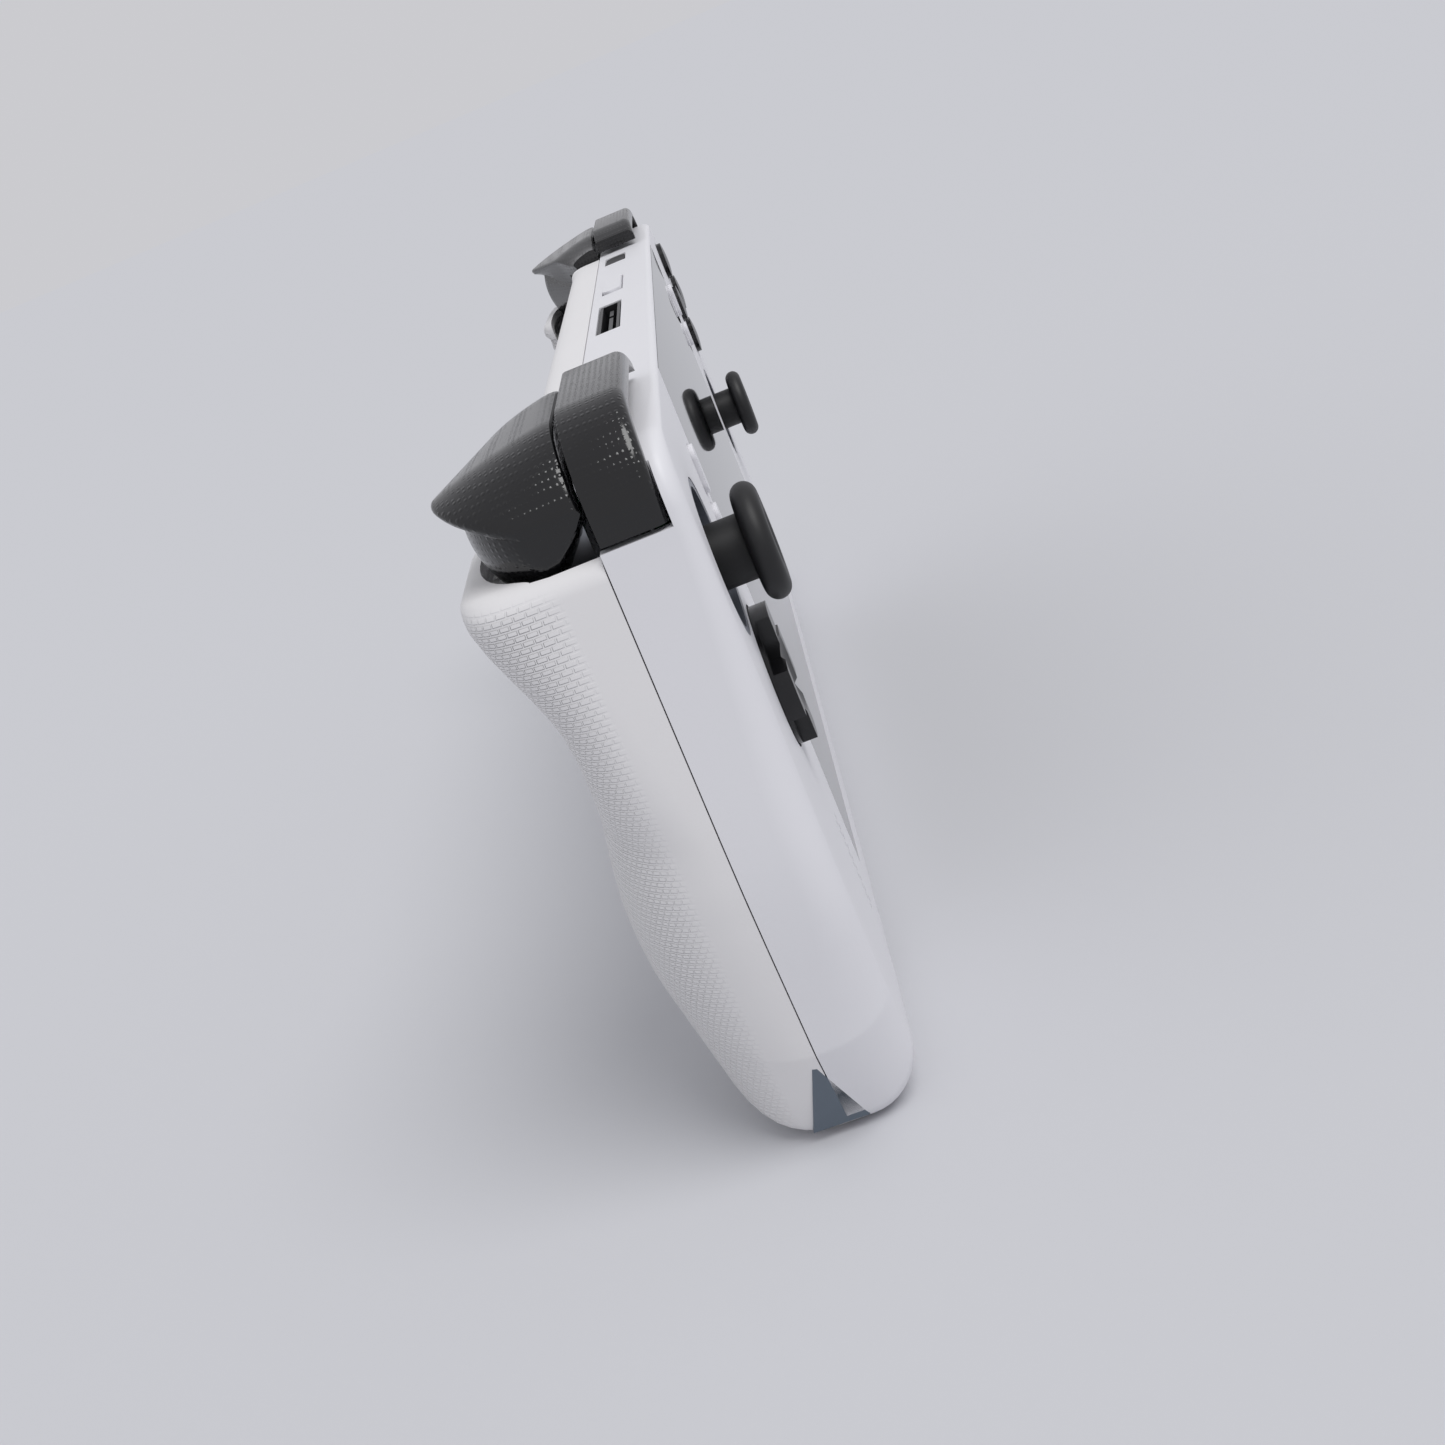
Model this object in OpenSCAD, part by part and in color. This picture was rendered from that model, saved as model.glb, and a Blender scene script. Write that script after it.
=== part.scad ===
// Handheld game controller with a screen between two grips, in millimetres.
// X is the player's right, Y goes from the front face to the back, Z is up.
// The origin is the middle of the screen's front face.

/* [Case] */
// Overall width across the grips
case_w = 280; // [276:1:300]
// Height of the top edge above the middle of the screen
case_top = 46.5; // [46.3:0.1:52]
// Depth of the bottom edge below the middle of the screen
case_bottom = 54.5; // [52:0.5:60]
// How far the grip tips reach below the middle of the screen
grip_tip = 59.5; // [57:0.5:66]
// Height at which the case stops under the bumpers and triggers
socket_z = 35.5; // [34.5:0.1:36.5]
// Distance from the middle to the inner end of a bumper
socket_x = 88; // [86:0.5:92]
// Wall of both shells
wall = 2; // [1.6:0.1:2.2]
// Depth of the front shell, down to the seam
seam_y = 13; // [12.6:0.1:14]
// Gap that shows between the two shells
seam_gap = 0.2; // [0.1:0.05:0.4]
// Thickness of the case in the middle
body_t = 21.2; // [20.6:0.1:23]
// Smallest depth of a grip, at its neck
grip_neck = 29; // [27:0.5:31]
// Largest depth of a grip, at its belly
grip_belly = 33.5; // [32:0.5:36]
// Depth of a grip at the rim under the trigger
grip_rim = 34.7; // [33.8:0.1:37]

/* [Screen] */
// Width of the cover glass
glass_w = 163; // [150:0.5:166]
// Height of the cover glass
glass_h = 91; // [84:0.5:91.4]
// Thickness of the cover glass
glass_t = 1.1; // [0.7:0.1:1.3]
// Width of the display panel
panel_w = 158; // [146:0.5:158]
// Height of the display panel
panel_h = 88; // [80:0.5:88]
// Thickness of the display panel
panel_t = 3.4; // [2.4:0.1:3.6]

/* [Thumbsticks] */
// Left stick: distance left of the middle
left_stick_x = 115.8; // [113:0.1:118]
// Left stick: height above the middle
left_stick_z = 24.2; // [23:0.1:25]
// Right stick: distance right of the middle
right_stick_x = 104.9; // [103:0.1:107]
// Right stick: height above the middle
right_stick_z = -3.1; // [-6:0.1:-2]
// Radius of the trim ring round a stick
ring_r = 11.6; // [11.2:0.1:12]
// Radius of a thumb cap
cap_r = 8.6; // [7.5:0.1:9.2]
// How far a thumb cap stands in front of the face
cap_out = 8; // [7.5:0.1:10]
// Thickness of a thumb cap
cap_t = 3.8; // [3:0.1:4.2]
// Radius of a stick's stem
stem_r = 4.8; // [3.5:0.1:5]
// Radius of the dome that closes the ring
dome_r = 8.6; // [8.2:0.1:9]
// Depth of the sticks' tilt centre behind the face
stick_y = 9; // [8.8:0.1:9.4]

/* [Buttons] */
// Distance of the direction pad left of the middle
dpad_x = 105.4; // [104.5:0.1:106]
// Height of the direction pad above the middle
dpad_z = 1; // [-1:0.1:1.4]
// Radius of the direction pad
dpad_r = 10.9; // [9.5:0.1:11.2]
// Distance of the face buttons right of the middle
face_x = 115.6; // [114:0.1:116.5]
// Height of the face buttons above the middle
face_z = 26.6; // [25.6:0.1:27.2]
// Distance of each face button from the middle of the four
face_pitch = 10.2; // [9.6:0.1:10.4]
// Radius of a face button
face_r = 4.6; // [4:0.1:4.8]
// Travel of a face button
face_travel = 1.2; // [0.6:0.1:1.3]
// Distance of the small buttons from the middle
menu_x = 88.2; // [87.6:0.1:89]
// Length of the rocker on the top edge
rocker_len = 21; // [16:0.5:24]
// Middle of the rocker on the top edge
rocker_x = 27.8; // [24:0.1:32]
// Middle of the power button on the top edge
power_x = 72.5; // [66:0.5:76]
// Distance of the rear buttons from the middle
rear_button_x = 70; // [66:0.5:71]
// Length of a rear button
rear_button_len = 20; // [14:1:24]

/* [Triggers] */
// Height of the bumpers and triggers above the top edge
bumper_rise = 5.9; // [5:0.1:7]
// Thickness of a bumper's skin
bumper_t = 2.6; // [2:0.1:3]
// Outer radius of the bumper where it turns the corner
bumper_r = 14; // [13:0.5:15]
// Reach of the trigger's lip behind the face
trigger_lip = 33; // [31:0.5:34]
// Depth of the trigger's pin behind the face
pin_y = 16.8; // [16.4:0.1:17.2]
// Height of the trigger's pin
pin_z = 40.3; // [40:0.1:40.6]
// Radius of the trigger's pin
pin_r = 1.5; // [1.2:0.1:1.7]
// Radius of the trigger's barrel wall about its pin
trigger_r = 14.2; // [13:0.1:14.4]

/* [Ports] */
// Left end of the dock port
dock_x0 = -31.5; // [-40:0.5:-28]
// Length of the dock port
dock_len = 33; // [28:0.5:36]
// Bore radius of the headphone jack
jack_r = 1.8; // [1.78:0.01:1.85]
// Distance of the headphone jack right of the middle
jack_x = 74; // [72:0.5:74.5]
// Length of the headphone jack
jack_len = 12; // [10:0.5:13]

/* [Hidden] */

clear = 0.3;
fit = 0.05;
$fn = 48;

// ---- helpers -------------------------------------------------------------

function unit(v) = v / norm(v);
function mix(a, b, t) = a * (1 - t) + b * t;
function smooth(t) = let (c = min(max(t, 0), 1)) c * c * (3 - 2 * c);

// A row is [x, z, corner radius, steps, more values...]; the arc keeps the row's other values.
function rest_of(row) = [for (i = [4 : len(row) - 1]) row[i]];
function arc_rows(a, b, c) =
  let (
    corner = [b[0], b[1]],
    u = unit([a[0], a[1]] - corner),
    v = unit([c[0], c[1]] - corner),
    open = acos(u * v),
    reach = b[2] / tan(open / 2),
    centre = corner + unit(u + v) * (b[2] / sin(open / 2)),
    from = corner + u * reach - centre,
    to = corner + v * reach - centre,
    turn = 180 - open
  )
  [for (i = [0 : b[3]])
    let (f = i / b[3], p = centre + (from * sin((1 - f) * turn) + to * sin(f * turn)) / sin(turn))
    concat([p[0], p[1]], rest_of(b))];
function rounded(rows) =
  let (n = len(rows))
  [for (i = [0 : n - 1]) each
    (rows[i][2] == 0
      ? [concat([rows[i][0], rows[i][1]], rest_of(rows[i]))]
      : arc_rows(rows[(i + n - 1) % n], rows[i], rows[(i + 1) % n]))];
// Splits long edges so that a curved surface can follow them.
function divided(rows, step) =
  let (n = len(rows))
  [for (i = [0 : n - 1])
    let (
      a = rows[i],
      b = rows[(i + 1) % n],
      gap = norm([b[0] - a[0], b[1] - a[1]]),
      parts = max(1, ceil(gap / step))
    )
    for (k = [0 : parts - 1]) mix(a, b, k / parts)];
function mirrored(rows) = concat(rows, [for (i = [len(rows) - 1 : -1 : 0])
  [for (j = [0 : len(rows[i]) - 1]) (j == 0 ? -1 : 1) * rows[i][j]]]);

// A closed solid through rings of equal length, each a list of [x, y, z].
module loft(rings) {
  n = len(rings[0]);
  last = len(rings) - 1;
  polyhedron(
    points = [for (r = rings) each r],
    faces = concat(
      [[for (i = [n - 1 : -1 : 0]) i]],
      [for (k = [0 : last - 1]) for (i = [0 : n - 1]) each
        [[k * n + i, k * n + (i + 1) % n, (k + 1) * n + (i + 1) % n],
         [k * n + i, (k + 1) * n + (i + 1) % n, (k + 1) * n + i]]],
      [[for (i = [0 : n - 1]) last * n + i]]
    ),
    convexity = 8
  );
}

// The same with each end closed to its middle point, for long rings with straight runs.
module cup(rings) {
  n = len(rings[0]);
  last = len(rings) - 1;
  polyhedron(
    points = concat([for (r = rings) each r], [[0, rings[0][0][1], 0], [0, rings[last][0][1], 0]]),
    faces = concat(
      [for (i = [0 : n - 1]) [(i + 1) % n, i, (last + 1) * n]],
      [for (k = [0 : last - 1]) for (i = [0 : n - 1]) each
        [[k * n + i, k * n + (i + 1) % n, (k + 1) * n + (i + 1) % n],
         [k * n + i, (k + 1) * n + (i + 1) % n, (k + 1) * n + i]]],
      [for (i = [0 : n - 1]) [last * n + i, last * n + (i + 1) % n, (last + 1) * n + 1]]
    ),
    convexity = 8
  );
}

module block(x0, x1, y0, y1, z0, z1) {
  translate([x0, y0, z0]) cube([x1 - x0, y1 - y0, z1 - z0]);
}
// A round bar along Y from y0 to y1.
module rod(x, z, r, y0, y1) {
  translate([x, y0, z]) rotate([-90, 0, 0]) cylinder(r = r, h = y1 - y0);
}
// A bar along Y with round ends, wider along Z than along X.
module slot_bar(x, z, w, len_z, y0, y1) {
  reach = (len_z - w) / 2;
  rod(x, z - reach, w / 2, y0, y1);
  rod(x, z + reach, w / 2, y0, y1);
  block(x - w / 2, x + w / 2, y0, y1, z - reach, z + reach);
}
// The same bar, wider along X.
module long_bar(x, z, len_x, w, y0, y1) {
  reach = (len_x - w) / 2;
  rod(x - reach, z, w / 2, y0, y1);
  rod(x + reach, z, w / 2, y0, y1);
  block(x - reach, x + reach, y0, y1, z - w / 2, z + w / 2);
}
// A bar along Z with round ends, lying along X, for the top edge.
module top_bar(x, y, len_x, w, z0, z1) {
  reach = (len_x - w) / 2;
  translate([x - reach, y, z0]) cylinder(r = w / 2, h = z1 - z0);
  translate([x + reach, y, z0]) cylinder(r = w / 2, h = z1 - z0);
  block(x - reach, x + reach, y - w / 2, y + w / 2, z0, z1);
}
module on_side(left) {
  if (left) mirror([1, 0, 0]) children();
  else children();
}

// ---- case shape ----------------------------------------------------------

half_w = case_w / 2;
side_top_x = half_w - 6.6;
facet_x = half_w - 1.7;
facet_z = -(grip_tip - 17);
tip_x = half_w - 6.8;
belly_z = -14;
// Values after the steps: edge inset along X, along Z, edge depth along Y.
front_rows = [
  [100, case_top, 0, 0, 0, 1, 1.2],
  [side_top_x, case_top, 10, 6, 3, 1, 2.2],
  [half_w, belly_z, 100, 4, 5.5, 1, 6],
  [facet_x, facet_z, 4, 2, 6.5, 5, 11],
  [tip_x, -grip_tip, 4, 4, 5, 8.5, 9],
  [104, -grip_tip, 30, 3, 3, 7, 7],
  [86, -case_bottom, 30, 3, 0, 3, 3],
  [78, -case_bottom, 0, 0, 0, 2, 2.2]
];
front_outline = divided(rounded(mirrored(front_rows)), 30);

// A ring of the front at angle a: 0 at the side wall, 90 on the face; t moves it inwards by a wall.
function front_ring(a, t) = [for (r = front_outline)
  let (
    kx = 1 - (r[2] * (1 - cos(a)) + t) / half_w,
    kz = 1 - (r[3] * (1 - cos(a)) + t) / (r[1] > 0 ? case_top : grip_tip)
  )
  [r[0] * kx, t + r[4] * (1 - sin(a)), r[1] * kz]];

// Values after the steps: roundness of the edge, 2 is a quarter ellipse, more is squarer.
back_rows = [
  [60, case_top, 0, 0, 5],
  [socket_x - 2, case_top, 1.5, 2, 5],
  [socket_x - 0.5, socket_z, 2.5, 3, 9],
  [side_top_x + 1.2, socket_z, 4, 4, 6],
  [half_w, belly_z, 100, 4, 2.1],
  [facet_x, facet_z, 4, 2, 2],
  [tip_x, -grip_tip, 4, 4, 2.6],
  [104, -grip_tip, 30, 3, 2.2],
  [86, -case_bottom, 30, 3, 3],
  [78, -case_bottom, 0, 0, 4]
];
back_outline = divided(rounded(mirrored(back_rows)), 12);
neck_z = 10;
rim_span = 24;
belly_half = 36;
function grip_depth(z) =
  z > neck_z
    ? mix(grip_neck, grip_rim, (1 - cos(180 * min((z - neck_z) / rim_span, 1))) / 2)
    : mix(grip_neck, grip_belly, (1 + cos(180 * (z + 2 * belly_half - 46) / belly_half)) / 2);
plateau_x = 80;
ridge_x = 105;
function back_depth(x, z) =
  mix(body_t, grip_depth(z), smooth((abs(x) - plateau_x) / (ridge_x - plateau_x)));
inset_x = 0.19;
inset_z = 0.2;
// A ring of the back at angle a: 0 at the seam, 90 where the edge's rounding ends.
function back_ring(a, t) = [for (r = back_outline)
  let (
    s = 1 - pow(cos(a), 2 / r[2]),
    rise = pow(sin(a), 2 / r[2]),
    x = r[0] * (1 - t / half_w) * (1 - inset_x * s),
    z = r[1] * (1 - t / case_bottom) * (1 - inset_z * s)
  )
  [x, seam_y + (back_depth(x, z) - t - seam_y) * rise, z]];
// A ring further in, where k goes from 1 at the rounding's end towards the middle.
function inner_ring(k, t) = [for (r = back_outline)
  let (
    x = r[0] * (1 - t / half_w) * (1 - inset_x) * k,
    z = r[1] * (1 - t / case_bottom) * (1 - inset_z) * mix(1, k, 0.7)
  )
  [x, back_depth(x, z) - t, z]];
edge_angles = [14, 32, 52, 72, 90];
inner_steps = [0.88, 0.76, 0.65];
module back_skin() {
  cup(concat(
    [for (i = [len(inner_steps) - 1 : -1 : 0]) inner_ring(inner_steps[i], 0)],
    [for (i = [len(edge_angles) - 1 : -1 : 0]) back_ring(edge_angles[i], 0)],
    [back_ring(0, 0), [for (p = back_ring(0, wall)) [p[0], seam_y, p[2]]]],
    [for (a = edge_angles) back_ring(a, wall)],
    [for (k = inner_steps) inner_ring(k, wall)]
  ));
}
module front_skin() {
  edge = seam_y - seam_gap;
  cup(concat(
    [for (a = [90 : -18 : 0]) front_ring(a, wall)],
    [[for (p = front_ring(0, wall)) [p[0], edge, p[2]]], [for (p = front_ring(0, 0)) [p[0], edge, p[2]]]],
    [for (a = [0 : 18 : 90]) front_ring(a, 0)]
  ));
}

// ---- bumper and trigger outline ------------------------------------------

bumper_top = case_top + bumper_rise;
bumper_side = side_top_x + 1.2;
bumper_y0 = 3;
bumper_y1 = seam_y - 0.5;
bumper_gap = 0.75;
// The outer line of the bumper in X and Z, moved inwards by t.
function bumper_line(t) = concat(
  [[socket_x, bumper_top - 2.2 - t], [socket_x + 7, bumper_top - t]],
  [for (a = [90 : -9 : 0])
    [bumper_side - bumper_r + (bumper_r - t) * cos(a), bumper_top - bumper_r + (bumper_r - t) * sin(a)]],
  [[bumper_side - t, socket_z + bumper_gap - (t > bumper_t ? 1.5 : 0)]]
);
// The band of the bumper between y0 and y1, with its outer line moved inwards by t.
module bumper_band(t, y0, y1) {
  inner = bumper_line(bumper_t);
  translate([0, y1, 0]) rotate([90, 0, 0]) linear_extrude(y1 - y0)
    polygon(concat(bumper_line(t), [for (i = [len(inner) - 1 : -1 : 0]) inner[i]]));
}
module bumper_space() {
  // Everything outside the bumper's inner line belongs to the bumper and its travel.
  line = bumper_line(bumper_t + 1.1);
  far = half_w + 20;
  translate([0, seam_y + 10, 0]) rotate([90, 0, 0])
    linear_extrude(seam_y + 10 - bumper_y0 + clear)
      polygon(concat([[socket_x - clear, case_top - 3.2]], line,
        [[far, socket_z], [far, bumper_top + 20], [socket_x - clear, bumper_top + 20]]));
}

// ---- case ----------------------------------------------------------------

screw_spots = [[82.4, 38.6], [84.6, -48], [127, -32]];
post_spots_left = [[-90, -11], [-126, -9], [-90, 12]];
post_spots_right = [[90, -18], [128, -10], [96, 13]];
glass_gap = 0.15;
ring_gap = 0.15;
button_gap = 0.25;

module screw_spots_all() {
  for (left = [false, true]) on_side(left) for (p = screw_spots) translate([p[0], 0, p[1]]) children();
}
module front_shell() {
  color("whitesmoke") {
    difference() {
      union() {
        front_skin();
        // Posts that carry the screws and the side boards.
        screw_spots_all() rod(0, 0, 3, wall / 2, seam_y - seam_gap);
        for (p = concat(post_spots_left, post_spots_right)) rod(p[0], p[1], 2, wall / 2, board_y);
      }
      screw_spots_all() rod(0, 0, screw_r + fit, 6, seam_y + 2);
      block(-panel_w / 2 - clear, panel_w / 2 + clear, -1, wall + 1, -panel_h / 2 - clear, panel_h / 2 + clear);
      block(-glass_w / 2 - glass_gap, glass_w / 2 + glass_gap, -1, glass_t + glass_gap,
        -glass_h / 2 - glass_gap, glass_h / 2 + glass_gap);
      rod(-left_stick_x, left_stick_z, ring_r + ring_gap, -1, wall + 1);
      rod(right_stick_x, right_stick_z, ring_r + ring_gap, -1, wall + 1);
      rod(-dpad_x, dpad_z, dpad_r + 0.45, -1, wall + 1);
      for (a = [0 : 90 : 270])
        rod(face_x + face_pitch * cos(a), face_z + face_pitch * sin(a), face_r + button_gap, -1, wall + 1);
      for (s = [-1, 1]) {
        slot_bar(s * menu_x, menu_z, menu_w + 2 * button_gap, menu_len + 2 * button_gap, -1, wall + 1);
        slot_bar(s * menu_x, option_z, menu_w + 2 * button_gap, option_len + 2 * button_gap, -1, wall + 1);
        for (k = [0 : 8]) for (c = [0, 2.4])
          translate([s * (speaker_x + c), 0, speaker_z - 4.5 + k * 2]) cube([1.2, 2 * wall + 2, 1.4], center = true);
      }
      block(dock_x0 - clear, dock_x0 + dock_len + clear, dock_y - dock_t / 2 - clear, dock_y + dock_t / 2 + clear,
        case_top - wall - 1, case_top + 1);
      top_bar(rocker_x, rocker_y, rocker_len + 2 * clear, rocker_w + 2 * clear, case_top - wall - 1, case_top + 1);
      top_bar(power_x, rocker_y, power_len + 2 * button_gap, power_w + 2 * button_gap,
        case_top - wall - 1, case_top + 1);
      for (left = [false, true]) on_side(left) {
        bumper_space();
        facet_place() linear_extrude(inset_t * 2) polygon(inset_shape(0.15));
      }
      block(card_x - card_w / 2 - clear, card_x + card_w / 2 + clear, card_y - clear, card_y + 1.2 + clear,
        -case_bottom - 1, -case_bottom + wall + 1.2);
      translate([jack_x, jack_y, -case_bottom - 1]) cylinder(r = jack_out_r + clear, h = wall + 3);
    }
  }
}

// The plan of the trigger socket: X against the depth of the trigger's barrel wall.
end_x = side_top_x - 1;
function barrel_r(x) =
  x < 112 ? trigger_r : 3.5 + (trigger_r - 3.5) * sqrt(max(0, 1 - pow((x - 112) / (end_x + 0.4 - 112), 2)));
trigger_x0 = socket_x + 1;
module trigger_socket() {
  xs = [for (i = [0 : 10]) trigger_x0 - 0.5 + (end_x + 0.3 - trigger_x0) * sin(90 * i / 10)];
  translate([0, 0, 20]) linear_extrude(60) polygon(concat(
    [[trigger_x0 - 0.5, seam_y - 1]],
    [for (x = xs) [x, pin_y + barrel_r(min(x, end_x)) + 0.5]],
    [[end_x + 0.6, pin_y + 3.4], [end_x + 0.6, seam_y - 1]]
  ));
}
module back_shell() {
  color("white") {
    difference() {
      union() {
        back_skin();
        for (s = [-1, 1]) {
          for (p = screw_spots) rod(s * p[0], p[1], 3.6, seam_y, back_depth(p[0], p[1]) - wall / 2);
          // A cradle that holds the rumble motor from behind.
          block(s * motor_x - 6, s * motor_x + 6, motor_y + motor_r - 2, grip_belly - wall + 0.3, motor_z - 8, motor_z + 8);
        }
      }
      for (s = [-1, 1]) translate([s * motor_x, motor_y, motor_z - 12])
        cylinder(r = motor_r + fit, h = 24);
      screw_spots_all() {
        rod(0, 0, screw_r + clear, seam_y - 1, 40);
        rod(0, 0, screw_head_r + clear, screw_seat_y, 40);
      }
      for (left = [false, true]) on_side(left) {
        trigger_socket();
        facet_place() linear_extrude(inset_t * 2) polygon(inset_shape(0.15));
        slot_bar(rear_button_x, 0, rear_button_w + 2 * button_gap, rear_button_len + 2 * button_gap, 15, 40);
        // Air goes in behind each fan and out along the top edge.
        for (k = [-2 : 2]) translate([fan_x + k * 6, 0, fan_z]) rotate([0, 25, 0])
          slot_bar(0, 0, 1.8, 22 - 3 * abs(k), body_t - wall - 1, body_t + 1);
        for (k = [0 : 6]) translate([fan_x - 20 + k * 6, body_t - 3.5, case_top]) rotate([0, 0, 30])
          cube([1.6, 12, 12], center = true);
      }
    }
  }
}

// ---- screen and frame ----------------------------------------------------

module screen_glass() {
  color([0.08, 0.08, 0.09]) block(-glass_w / 2, glass_w / 2, 0, glass_t, -glass_h / 2, glass_h / 2);
}
panel_y = glass_t + 0.2;
module display_panel() {
  color("dimgray") block(-panel_w / 2, panel_w / 2, panel_y, panel_y + panel_t, -panel_h / 2, panel_h / 2);
}
frame_y = 5.2;
frame_t = 1.6;
frame_w = 169;
board_y = 6.4;
board_t = 1.2;
main_y = 9;
module mid_frame() {
  color("lightslategray") {
    difference() {
      block(-frame_w / 2, frame_w / 2, frame_y, frame_y + frame_t, -50, main_top - 0.3);
      screw_spots_all() rod(0, 0, 3 + clear, 0, 20);
      block(jack_x - 3.5, jack_x + 3.5, 0, 20, -60, jack_len - case_bottom + 2);
    }
    for (s = [-1, 1]) for (z = [-6, 34]) rod(s * 68, z, 2, frame_y + frame_t, main_y);
  }
}
main_top = 37.5;
module mainboard() {
  color("darkgreen") {
    block(-72, 72, main_y, main_y + board_t, -10, main_top);
    block(-9, 9, main_y + board_t, main_y + board_t + 0.8, 14, 32);
    for (k = [-2 : 2]) block(k * 12 - 4, k * 12 + 4, main_y - 1.2, main_y, 2, 10);
  }
}
plate_y = main_y + board_t + 0.8;
module cooling_plate() {
  // A copper plate on the processor with two flat heat pipes that run under the fin stacks.
  color("peru") {
    block(-14, 14, plate_y, plate_y + 1.2, 10, 36);
    for (s = [-1, 1]) {
      block(min(s * 4, s * 10), max(s * 4, s * 10), plate_y, plate_y + 1.2, 36, 44);
      block(min(s * 4, s * 63), max(s * 4, s * 63), plate_y, plate_y + 1.2, 39.2, 44);
    }
  }
}
module battery() {
  color("gray") block(-66, 66, frame_y + frame_t + 0.2, body_t - wall - 0.8, -49, -14);
}
module storage_drive() {
  color("seagreen") {
    block(-15, 15, plate_y + 0.4, plate_y + 1.2, -9, 7);
    block(-13, 1, plate_y + 1.2, plate_y + 2.4, -7, 6);
    block(4, 13, plate_y + 1.2, plate_y + 2.2, -7, 6);
    block(-15, -11, main_y + board_t, plate_y + 0.4, -8, 6);
  }
}
fan_x = 44;
fan_z = 15;
fan_r = 17;
fan_y0 = plate_y + 1.5;
fan_y1 = body_t - wall - clear;
module fan_housing(left) {
  color("darkslategray") on_side(left) {
    difference() {
      block(fan_x - 21, fan_x + 21, fan_y0, fan_y1, fan_z - 20, 38);
      rod(fan_x, fan_z, fan_r + 1, fan_y0 + 1, fan_y1 + 1);
      block(fan_x - 18, fan_x + 18, fan_y0 + 1, fan_y1 - 1, fan_z, 39);
      rod(fan_x, fan_z, 1 + fit, fan_y0 - 1, fan_y1);
    }
    for (x = [-17, 17]) rod(fan_x + x, fan_z - 17, 2, main_y + board_t, fan_y0);
  }
}
module fan(left) {
  color("black") on_side(left) {
    rod(fan_x, fan_z, 1, fan_y0 + 0.1, fan_y0 + 2);
    rod(fan_x, fan_z, 6.5, fan_y0 + 1.5, fan_y1 - 0.6);
    for (k = [0 : 16]) translate([fan_x, fan_y0 + 1.5, fan_z]) rotate([0, k * 360 / 17, 0])
      translate([6, 0, -0.35]) cube([fan_r - 6.4, fan_y1 - fan_y0 - 2.4, 0.7]);
  }
}
fin_n = 18;
module fin_stack(left) {
  color("silver") on_side(left) {
    block(fan_x - 18, fan_x + 18, fan_y0 - 0.2, fan_y0 + 0.6, 38.5, 44);
    for (k = [0 : fin_n - 1])
      block(fan_x - 18 + k * 2, fan_x - 17.6 + k * 2, fan_y0 + 0.6, fan_y1 - 1.5, 38.5, 44);
  }
}

// ---- ports, sound and rumble ---------------------------------------------

dock_y = 8.8;
dock_t = 4.2;
module dock_port() {
  color("black") {
    difference() {
      block(dock_x0, dock_x0 + dock_len, dock_y - dock_t / 2, dock_y + dock_t / 2, main_top + 0.3, case_top - 0.2);
      block(dock_x0 + 0.8, dock_x0 + dock_len - 0.8, dock_y - dock_t / 2 + 0.6, dock_y + dock_t / 2 - 0.6,
        main_top + 2, case_top + 1);
    }
    block(dock_x0 + 2, dock_x0 + dock_len - 12, dock_y - 0.4, dock_y + 0.4, main_top + 1, case_top - 1);
    block(dock_x0 + dock_len - 9.5, dock_x0 + dock_len - 3, dock_y - 0.4, dock_y + 0.4, main_top + 1, case_top - 1);
  }
}
card_x = -74;
card_w = 12;
card_y = 9.4;
module card_slot() {
  color("silver") difference() {
    block(card_x - card_w / 2 - 1, card_x + card_w / 2 + 1, card_y - 0.8, card_y + 2,
      -case_bottom + wall + 0.3, -case_bottom + wall + 14);
    block(card_x - card_w / 2, card_x + card_w / 2, card_y, card_y + 1.2,
      -case_bottom + wall - 1, -case_bottom + wall + 12);
  }
}
jack_y = 9;
jack_out_r = 2.9;
module headphone_jack() {
  color("dimgray") difference() {
    union() {
      translate([jack_x, jack_y, -case_bottom + 0.2]) cylinder(r = jack_out_r, h = jack_len);
      block(jack_x - 3.2, jack_x + 3.2, jack_y - 2.9, jack_y + 3.2,
        -case_bottom + wall + 3, -case_bottom + 0.2 + jack_len + 1.5);
    }
    translate([jack_x, jack_y, -case_bottom - 1]) cylinder(r = jack_r, h = jack_len + 1.2);
  }
}
speaker_x = 97;
speaker_z = -40;
module speaker(left) {
  color("black") on_side(left) {
    difference() {
      block(speaker_x - 9, speaker_x + 14, wall + 0.3, wall + 5.5, speaker_z - 6, speaker_z + 12);
      rod(speaker_x + 2.5, speaker_z + 3, 5.5, wall, wall + 1.5);
    }
  }
}
motor_x = 112;
motor_y = 19.5;
motor_z = -25;
motor_r = 5.5;
module rumble_motor(left) {
  color("silver") on_side(left) {
    translate([motor_x, motor_y, motor_z - 10]) cylinder(r = motor_r, h = 20);
    translate([motor_x, motor_y, motor_z + 10]) cylinder(r = 1, h = 6);
    intersection() {
      translate([motor_x, motor_y, motor_z + 11]) cylinder(r = 4.6, h = 4);
      block(motor_x - 5, motor_x + 5, motor_y - 0.8, motor_y + 6, motor_z + 11, motor_z + 15);
    }
  }
}

// ---- sticks --------------------------------------------------------------

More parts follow.
